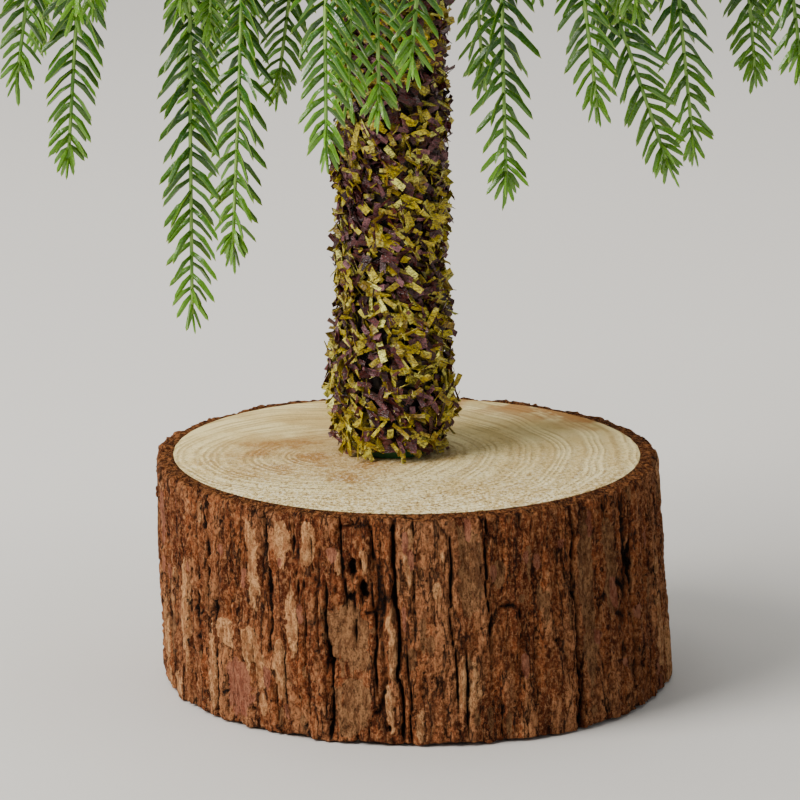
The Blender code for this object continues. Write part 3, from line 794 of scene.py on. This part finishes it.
class Foliage:
    """Collects the needles and stems of one spray as arrays, then makes its two pieces."""

    def __init__(self, seed):
        self.chance = np.random.default_rng(seed)
        self.needles = []
        self.stems = []

    def stem(self, path, start, end):
        self.stems.append((np.asarray(path), start, end))

    def sprig(self, path, flat, first=0.0, rows=SPRIG_ROWS, spacing=NEEDLE_SPACING, size=1.0):
        """Needles along a path. flat is the direction across the sprig's own plane."""
        path = np.asarray(path, float)
        flat = np.asarray(flat)
        steps = np.linalg.norm(np.diff(path, axis=0), axis=1)
        total = steps.sum()
        marks = np.concatenate([[0], np.cumsum(steps)])
        for around, shift in rows:
            count = int((total - first) / spacing)
            at = first + (np.arange(count) + shift + self.chance.normal(0, 0.06, count)) * spacing
            at = at[(at > first) & (at < total - 0.0012)]
            self.row(path, marks, at, around, flat, size)
        # Short needles fill the last few millimetres and spread from the tip.
        at = total - np.linspace(*TIP_SPAN, TIP_NEEDLES)
        around = np.arange(TIP_NEEDLES) * 2.4 + self.chance.uniform(0, np.pi)
        self.row(path, marks, at, around, flat, size, closing=True)

    def row(self, path, marks, at, around, flat, size, closing=False):
        """Needles at the distances given along the path, turned round it by around."""
        count = len(at)
        if not count:
            return
        total = marks[-1]
        chance = self.chance

        def along(distance):
            return np.stack([np.interp(distance, marks, path[:, k]) for k in range(3)], axis=1)

        place = along(at)
        forward = unit(along(np.minimum(at + 0.003, total)) - along(np.maximum(at - 0.003, 0)))
        lateral = unit(flat[None] - forward * (forward @ flat)[:, None])
        normal = np.cross(forward, lateral)
        turn = around + chance.normal(0, 0.13, count)
        away = turned(turn, lateral, normal)
        if closing:
            leave = np.radians(np.linspace(18, 58, count) + chance.normal(0, 5, count))
            arrive = leave * 0.7
        else:
            leave = np.radians(chance.normal(*NEEDLE_ROOT, count))
            arrive = np.radians(chance.normal(*NEEDLE_END, count))
        # The needles shorten toward the tip, and droop a little.
        shorten = np.interp(total - at, TIP_REACHES, TIP_SHARES)
        length = size * NEEDLE_LENGTH * shorten * chance.uniform(0.88, 1.08, count)
        begin = turned(leave, forward, away)
        finish = turned(arrive, forward, away)
        finish[:, 2] -= 0.12
        side = np.cross(forward, away)
        twist = chance.normal(0, 0.45, count)
        across = turned(twist, np.cross(begin, side), side)
        young = np.clip(smooth(0.6, 1.0, at / total) * 0.8 + closing, 0, 1)
        self.needles.append((place, begin, finish, across, length, young))

    def make(self, name, body, replaced):
        parts = [np.concatenate(column) for column in zip(*self.needles)]
        verts, along = needle_verts(*parts[:5])
        count = len(verts)
        tint = self.chance.uniform(0, 1, count)
        values = {
            "along": np.tile(along, count),
            # edge marks each needle's side corners, which its look paints lighter as a painted highlight.
            "edge": np.tile([1.0, 0.0, 1.0, 0.0] * 3 + [1.0], count),
            "tint": np.repeat(tint, NEEDLE_VERTS),
            "young": np.repeat(parts[5], NEEDLE_VERTS),
        }
        corner, step = atlas(count)
        local = np.stack([[0.1, 0.5, 0.9, 0.5] * 3 + [0.5], 0.1 + 0.8 * along], axis=1)
        uvs = (corner[:, None] + local[None] * step).reshape(-1, 2)
        verts = verts.reshape(-1, 3)
        faces = needle_faces(count)
        piece = add_mesh(f"{name}_needles", verts, faces, NEEDLES, body, replaced, values, uvs)
        sharpen_ridges(piece.data)

        verts = []
        faces = []
        start = 0
        for path, first, last in self.stems:
            tube, sides = grooved_tube(path, first, last)
            verts.append(tube)
            faces += [tuple(start + k for k in face) for face in sides]
            start += len(tube)
        add_mesh(f"{name}_stems", np.concatenate(verts), faces, STEMS, body, replaced)


def needle_verts(place, begin, finish, across, length):
    """Each needle's points, and how far along the needle each point is."""
    across = unit(across)
    slim = np.sqrt(length / NEEDLE_LENGTH)[:, None]  # short needles are narrower too
    rows = []
    along = []
    for t, wide, thick in NEEDLE_SECTIONS:
        middle = place + length[:, None] * (begin * (t - t * t / 2) + finish * (t * t / 2))
        up = unit(np.cross(across, begin * (1 - t) + finish * t))
        for a, b in ((-1, 0), (0, -1), (1, 0), (0, 1)):
            flat = across * (a * wide * NEEDLE_WIDTH / 2)
            rows.append(middle + slim * (flat + up * (b * thick * NEEDLE_THICKNESS / 2)))
            along.append(t)
    rows.append(place + length[:, None] * (begin + finish) / 2)
    along.append(1.0)
    return np.stack(rows, axis=1), np.array(along)


def needle_faces(count):
    quads = [(k + c, k + (c + 1) % 4, k + 4 + (c + 1) % 4, k + 4 + c) for k in (0, 4) for c in range(4)]
    quads.append((3, 2, 1, 0))
    tips = [(8 + c, 8 + (c + 1) % 4, 12) for c in range(4)]
    base = (np.arange(count) * NEEDLE_VERTS)[:, None, None]
    faces = (base + np.array(quads)[None]).reshape(-1, 4).tolist()
    return faces + (base + np.array(tips)[None]).reshape(-1, 3).tolist()


def sharpen_ridges(mesh):
    """Each needle keeps the four ridges along it sharp, and is smooth from end to end."""
    ends = np.zeros(2 * len(mesh.edges), dtype=np.int32)
    mesh.edges.foreach_get("vertices", ends)
    low, high = np.sort(ends.reshape(-1, 2) % NEEDLE_VERTS, axis=1).T
    ridge = (high - low == 4) | (high == NEEDLE_VERTS - 1)
    mesh.attributes.new("sharp_edge", "BOOLEAN", "EDGE").data.foreach_set("value", ridge)


def grooved_tube(path, first, last, sides=8):
    """A closed tube whose section has four shallow grooves."""
    path = np.asarray(path)
    count = len(path)
    tangent = unit(np.gradient(path, axis=0))
    aside = np.array([0.31, 0.95, 0.05])  # no stem runs this way
    one = unit(np.cross(tangent, aside))
    two = np.cross(tangent, one)
    radius = np.linspace(first, last, count)
    turn = np.arange(sides) * 2 * np.pi / sides
    groove = 1 - 0.16 * (np.arange(sides) % 2)
    right = (radius[:, None] * (np.cos(turn) * groove)[None])[:, :, None]
    ahead = (radius[:, None] * (np.sin(turn) * groove)[None])[:, :, None]
    verts = path[:, None] + one[:, None] * right + two[:, None] * ahead
    faces = []
    for j in range(count - 1):
        for k in range(sides):
            a = j * sides + k
            b = j * sides + (k + 1) % sides
            faces.append((a, b, b + sides, a + sides))
    faces.append(tuple(reversed(range(sides))))
    faces.append(tuple(range((count - 1) * sides, count * sides)))
    return verts.reshape(-1, 3), faces


def needle_look():
    look = Look("needles", 0.30, Specular_IOR_Level=0.55)
    tint = look.value("tint")
    along = look.value("along")
    patch = look.noise(0.006, 2.0)
    fine = look.noise(0.0007, 2.0)
    colour = look.mix(tint, (0.010, 0.048, 0.002), (0.046, 0.160, 0.005))
    colour = look.over(colour, patch, 0.42, 0.62, 0.5, (0.016, 0.095, 0.010))
    # Painted highlight: the needles' side edges are lighter.
    colour = look.over(colour, look.value("edge"), 0.74, 1.0, 0.80, (0.28, 0.45, 0.020))
    colour = look.over(colour, along, 0.40, 1.0, 0.30, (0.13, 0.30, 0.010))
    colour = look.mix(look.times(look.value("young"), 0.50), colour, (0.19, 0.42, 0.025))
    colour = look.over(colour, along, 0.90, 1.0, 0.6, (0.64, 0.66, 0.20))
    look.bump(fine, 0.0003, 0.4)
    return look.finish(colour, look.band(fine, 0.4, 0.6, 0.36, 0.18))


def coat_look(name, size, stretch, dark, light, gloss, lift=0.0, strength=0.0, **sockets):
    """A plain coating in two tones. size and stretch are those of its streaks, and gloss gives the
    roughness of the dark and the light ones."""
    look = Look(name, **sockets)
    streak = look.noise(size, 3.0, stretch)
    colour = look.tones(streak, dark, light, 0.35, 0.65)
    if lift:
        look.bump(streak, lift, strength)
    return look.finish(colour, look.band(streak, 0.3, 0.7, *gloss))


def curve(points, steps):
    """A smooth line through points, as an array."""
    points = [Vector(p) for p in points]
    points = [2 * points[0] - points[1]] + points + [2 * points[-1] - points[-2]]
    line = []
    for k in range(1, len(points) - 2):
        a, b, c, d = points[k - 1:k + 3]
        for s in range(steps):
            t = s / steps
            square = 2 * a - 5 * b + 4 * c - d
            cube = 3 * b - a - 3 * c + d
            line.append(0.5 * (2 * b + (c - a) * t + square * t ** 2 + cube * t ** 3))
    line.append(points[-2])
    return np.array([tuple(p) for p in line])


class Branch:
    """The lines of a branch, as in the CAD: its joint is the origin, +X outward and +Z up."""

    def __init__(self, number, joint):
        self.number = number
        self.level, self.index = divmod(number - 1, BRANCHES_PER_TIER)
        outward = Vector((0, 0, 1)).cross(Vector(joint["axis"]))
        root = Vector(joint["pos_m"])
        azimuth = math.atan2(outward.y, outward.x)
        self.place = Matrix.Translation(root) @ Matrix.Rotation(azimuth, 4, "Z")
        self.joint_radius = (root - TRUNK).xy.length
        share = (root.z - STEM_FOOT) / (STEM_TOP - STEM_FOOT)
        stem = POLE_RADIUS + (STEM_TOP_RADIUS - POLE_RADIUS) * share
        clear = GARLAND_RADIUS if self.level == 0 else stem
        self.start = clear + 2.6 * TWIG_RADIUS - self.joint_radius
        self.end = REACHES[self.level] * CROWN_RADIUS - 2.8 * TWIG_RADIUS - self.joint_radius

    def line(self, points):
        """A smooth line through points of the branch, in the world."""
        return curve([self.place @ Vector(p) for p in points], CURVE_STEPS)

    def spine(self, x):
        sag = (math.tan(LIFT) * self.end + 0.03 * self.end) / self.end ** 2
        return Vector((x, 0, math.tan(LIFT) * x - sag * x ** 2))

    def hang(self, x, tip):
        """How far a twig hangs down, from the height of its tip as a share of the bare trunk."""
        return self.spine(x).z + BARE_TRUNK * (1 - tip)

    def end_hang(self):
        if self.level > 0:
            return TIER_GAP * HIGHER_HANG[-1]
        return self.hang(self.end, LOWEST_BRANCHES[self.index]["end"])

    def twigs(self):
        """Each twig's place along the branch, how far it stands to the side, and its hang."""
        nearest = self.start + 2.6 * TWIG_RADIUS
        length = self.end - nearest
        if self.level == 0:
            rows = LOWEST_BRANCHES[self.index]["twigs"]
            places = [(nearest + length * along, side * CROWN_RADIUS, tip) for along, side, tip in rows]
            return [(x, side, self.hang(x, tip)) for x, side, tip in places]
        twigs = []
        count = TWIG_COUNTS[self.level]
        for k, share in enumerate(HIGHER_HANG[:count]):
            x = nearest + length * k / count
            out = x + self.joint_radius - 3 * TWIG_RADIUS
            twigs.append((x, (-1) ** (k + self.index) * 0.20 * out, TIER_GAP * share))
        return twigs


# Front sprigs, by branch and twig: how far the tip stands to the right of its place in the CAD,
# and how far the upper part bows to the right besides.
BOWS = {
    (1, 3): (0.0010, -0.0020), (1, 4): (0.0, 0.0020), (2, 2): (0.0050, -0.0250), (2, 3): (0.0, -0.0045),
    (3, 2): (-0.0018, -0.0050), (5, 0): (0.0060, -0.0010), (5, 1): (0.0, 0.0075),
    (6, 0): (0.0030, -0.0030), (6, 2): (-0.0020, 0.0080), (6, 3): (0.0026, 0.0020),
}


def spine_line(branch):
    """The arching spine, which turns down at its end."""
    full = TWIG_RADIUS
    fall = branch.spine(branch.end)
    hang = branch.end_hang()
    reach = branch.end - branch.start
    points = [branch.spine(branch.start + reach * k / SPINE_PARTS) for k in range(SPINE_PARTS + 1)]
    points.append(fall + Vector((0.9 * full, 0, -1.1 * full)))
    points.append(fall + Vector((1.3 * full, 0, -0.5 * hang)))
    points.append(fall + Vector((1.3 * full, 0, -hang + TIP_REST)))
    return branch.line(points)


def twig_line(branch, twig, swing, sway, shift, bow):
    """A twig that leaves the spine, turns over to the side and hangs down."""
    x, side, hang = twig
    full = TWIG_RADIUS
    root = branch.spine(x)
    right = branch.place.to_3x3().transposed() @ Vector((1, 0, 0))  # the row's +X
    over = root + Vector((0.9 * full, 0.6 * side, -0.08 * hang))
    middle = root + Vector((1.2 * full + 0.4 * swing, 0.9 * side, -0.45 * hang))
    tip = root + Vector((1.5 * full + swing, side, TIP_REST - hang))
    over += (0.5 * shift + bow) * right
    middle += Vector((sway, -sway, 0))
    middle += (shift + 0.6 * bow) * right
    tip += shift * right
    return branch.line([root, over, middle, tip])


def short_twig_line(branch, twig, other, reach):
    """A shorter twig from the same root, on the other side."""
    x, side, hang = twig
    full = TWIG_RADIUS
    root = branch.spine(x)
    over = root + Vector((0.8 * full, 0.6 * side + 0.8 * other, -0.08 * hang))
    tip = root + Vector((1.0 * full, 0.7 * side + other, -reach * hang))
    return branch.line([root, over, tip])


def make_spray(branch):
    """The needles and stems of one branch: its arching spine, side twigs and hanging end."""
    number = branch.number
    swings = random.Random(100 + number)
    chance = random.Random(900 + number)
    foliage = Foliage(300 + number)

    path = spine_line(branch)
    foliage.stem(path, 0.0017, 0.0005)
    flat = (math.cos(chance.uniform(-0.6, 0.6)), math.sin(chance.uniform(-0.6, 0.6)), 0)
    foliage.sprig(path, flat, first=0.004)

    twigs = branch.twigs()
    if branch.level > 0:  # more sprigs between those the CAD shows, on the other side
        half = (branch.end - branch.start) / (2 * len(twigs))
        twigs += [(x + half, -0.7 * side, 0.85 * hang) for x, side, hang in twigs]
    for index, twig in enumerate(twigs):
        _, side, hang = twig
        swing = swings.uniform(-0.5, 1.0) * TWIG_RADIUS
        sway = chance.uniform(-0.0015, 0.0015)
        shift, bow = BOWS.get((number, index), (0.0, chance.uniform(-0.003, 0.003)))
        path = twig_line(branch, twig, swing, sway, shift, bow)
        turn = chance.uniform(-0.55, 0.55)
        flat = (math.cos(turn), math.sin(turn), 0)
        foliage.stem(path, SPRIG_STEM, 0.6 * SPRIG_STEM)
        foliage.sprig(path, flat, first=0.004)
        if hang > LONG_HANG:
            other = -math.copysign(1, side if side else 1) * chance.uniform(0.006, 0.010)
            path = short_twig_line(branch, twig, other, chance.uniform(0.35, 0.55))
            foliage.stem(path, 0.9 * SPRIG_STEM, 0.5 * SPRIG_STEM)
            foliage.sprig(path, flat, first=0.005, size=0.9)
    foliage.make(f"foliage_{number:02d}", f"branch_{number:02d}", [f"spray_{number:02d}"])


def make_leader():
    """The upright top shoot, with needles all round it and three whorls of drooping twigs."""
    foliage = Foliage(777)
    foot = TRUNK + Vector((0, 0, STEM_TOP + GAP))
    up = Vector((0, 0, LEADER_HEIGHT - GAP))
    tip = foot + up - Vector((0, 0, 0.006))
    path = curve([foot, foot + 0.3 * up, foot + 0.65 * up, tip], CURVE_STEPS)
    foliage.stem(path, 0.0030, 0.0007)
    foliage.sprig(path, (1, 0, 0), first=0.006, rows=LEADER_ROWS, spacing=0.0075)
    for level, reach, twigs in WHORLS:
        for k in range(2 * twigs):  # every other one is shorter and lower
            angle = level * 5 + math.pi * k / twigs
            share = (1.0, 0.75)[k % 2]
            out = Vector((math.cos(angle), math.sin(angle), 0)) * share * reach * LEADER_HEIGHT
            root = foot + up * (level - 0.08 * (k % 2))
            rise = root + 0.5 * out + up * 0.075
            over = root + 0.9 * out + up * 0.04
            path = curve([root, rise, over, root + out - up * 0.08], CURVE_STEPS)
            foliage.stem(path, SPRIG_STEM, 0.6 * SPRIG_STEM)
            foliage.sprig(path, (-out.y, out.x, 0.001), first=0.003)
    foliage.make("foliage_top", "base", ["leader_spray"])


# -------------------------------------------------------------------------- the CAD's own pieces

def tape_look(name, dark, light):
    """Crepe tape wound on in narrow turns."""
    look = Look(name, 0.75)
    creases = look.noise(0.0009, 3.0, (1, 1, 3))
    lap = look.nodes.new("ShaderNodeTexWave")
    lap.wave_type = "BANDS"
    lap.bands_direction = "Z"
    lap.wave_profile = "SAW"
    lap.inputs["Scale"].default_value = 60
    lap.inputs["Distortion"].default_value = 0.4
    look.join(look.place(), lap.inputs["Vector"])
    colour = look.tones(creases, dark, light, 0.35, 0.65)
    look.bump(lap.outputs["Fac"], 0.0004, 0.5)
    look.bump(creases, 0.0002, 0.6)
    return look.finish(colour, look.band(creases, 0.3, 0.7, 0.85, 0.6))


def dress(node, look):
    piece = frame["nodes"][node]
    piece.data.materials.clear()
    piece.data.materials.append(look)


# ------------------------------------------------------------------------------------- set

LIT_POINT = Vector((0, 0, 0.10))
WARM = (1.0, 0.97, 0.92)
COOL = (0.95, 0.97, 1.0)
CAMERA_LENS = 282  # millimetres, on a 36 mm sensor
CAMERA_PLACE = (-0.00144, -1.4515, 0.4330)
CAMERA_DOWN = 14.11  # degrees


def make_stage():
    """A plain pale floor."""
    bpy.ops.mesh.primitive_plane_add(size=8, location=(0, 0, 0))
    floor = bpy.context.object
    floor.name = "floor"
    look = Look("floor", 0.7)
    cloud = look.noise(0.4, 2.0)
    floor.data.materials.append(look.finish(look.mix(cloud, (0.62, 0.60, 0.57), (0.66, 0.64, 0.61))))


def add_light(name, place, size, power, colour):
    """A soft round light that points at the trunk's foot."""
    lamp = bpy.data.lights.new(name, "AREA")
    lamp.shape = "DISK"
    lamp.size = size
    lamp.energy = power
    lamp.color = colour
    thing = bpy.data.objects.new(name, lamp)
    thing.location = place
    thing.rotation_euler = (LIT_POINT - Vector(place)).to_track_quat("-Z", "Y").to_euler()
    bpy.context.scene.collection.objects.link(thing)


def make_lights():
    world = bpy.data.worlds.new("studio")
    world.use_nodes = True
    sky = world.node_tree.nodes["Background"]
    sky.inputs["Color"].default_value = (*COOL, 1)
    sky.inputs["Strength"].default_value = 0.26
    bpy.context.scene.world = world
    add_light("key", (-1.50, -0.85, 1.35), 1.3, 72, WARM)
    add_light("top", (-0.2, 0.2, 1.7), 1.4, 30, WARM)
    add_light("fill", (1.4, -1.3, 0.8), 1.2, 3.5, COOL)


def make_camera():
    lens = bpy.data.cameras.new("camera")
    lens.sensor_width = 36
    lens.lens = CAMERA_LENS
    lens.clip_end = 20
    camera = bpy.data.objects.new("camera", lens)
    camera.location = CAMERA_PLACE
    camera.rotation_euler = (math.radians(90 - CAMERA_DOWN), 0, 0)
    bpy.context.scene.collection.objects.link(camera)
    bpy.context.scene.camera = camera


make_camera()
make_lights()
make_stage()

NEEDLES = needle_look()
STEMS = coat_look(
    "sprig_stems", 0.0011, (1, 1, 0.15), (0.090, 0.240, 0.020), (0.32, 0.52, 0.11), (0.6, 0.4), 0.0004, 0.6
)
POLE = coat_look(
    "pole_coating", 0.003, (1, 1, 1), (0.012, 0.110, 0.022), (0.030, 0.210, 0.045), (0.5, 0.3), 0.0003, 0.3
)
CORE_WIRE = coat_look(
    "core_wire", 0.0006, (1, 1, 4), (0.22, 0.21, 0.20), (0.48, 0.47, 0.45), (0.5, 0.28), Metallic=1.0
)
make_bark()
make_garland()
make_garland_roots()
for joint in frame["joints"]:
    make_spray(Branch(int(joint["name"].split("_")[1]), joint))
make_leader()
dress("log_wood", wood_look())
dress("pole", POLE)
dress("garland_core_wire", CORE_WIRE)
dress("stem", tape_look("stem_tape", (0.030, 0.075, 0.018), (0.070, 0.150, 0.040)))
WIRE_TAPE = tape_look("wire_tape", (0.040, 0.085, 0.020), (0.090, 0.150, 0.045))
for node in frame["nodes"]:
    if node.startswith("branch_wire"):
        dress(node, WIRE_TAPE)

bpy.context.view_layer.update()
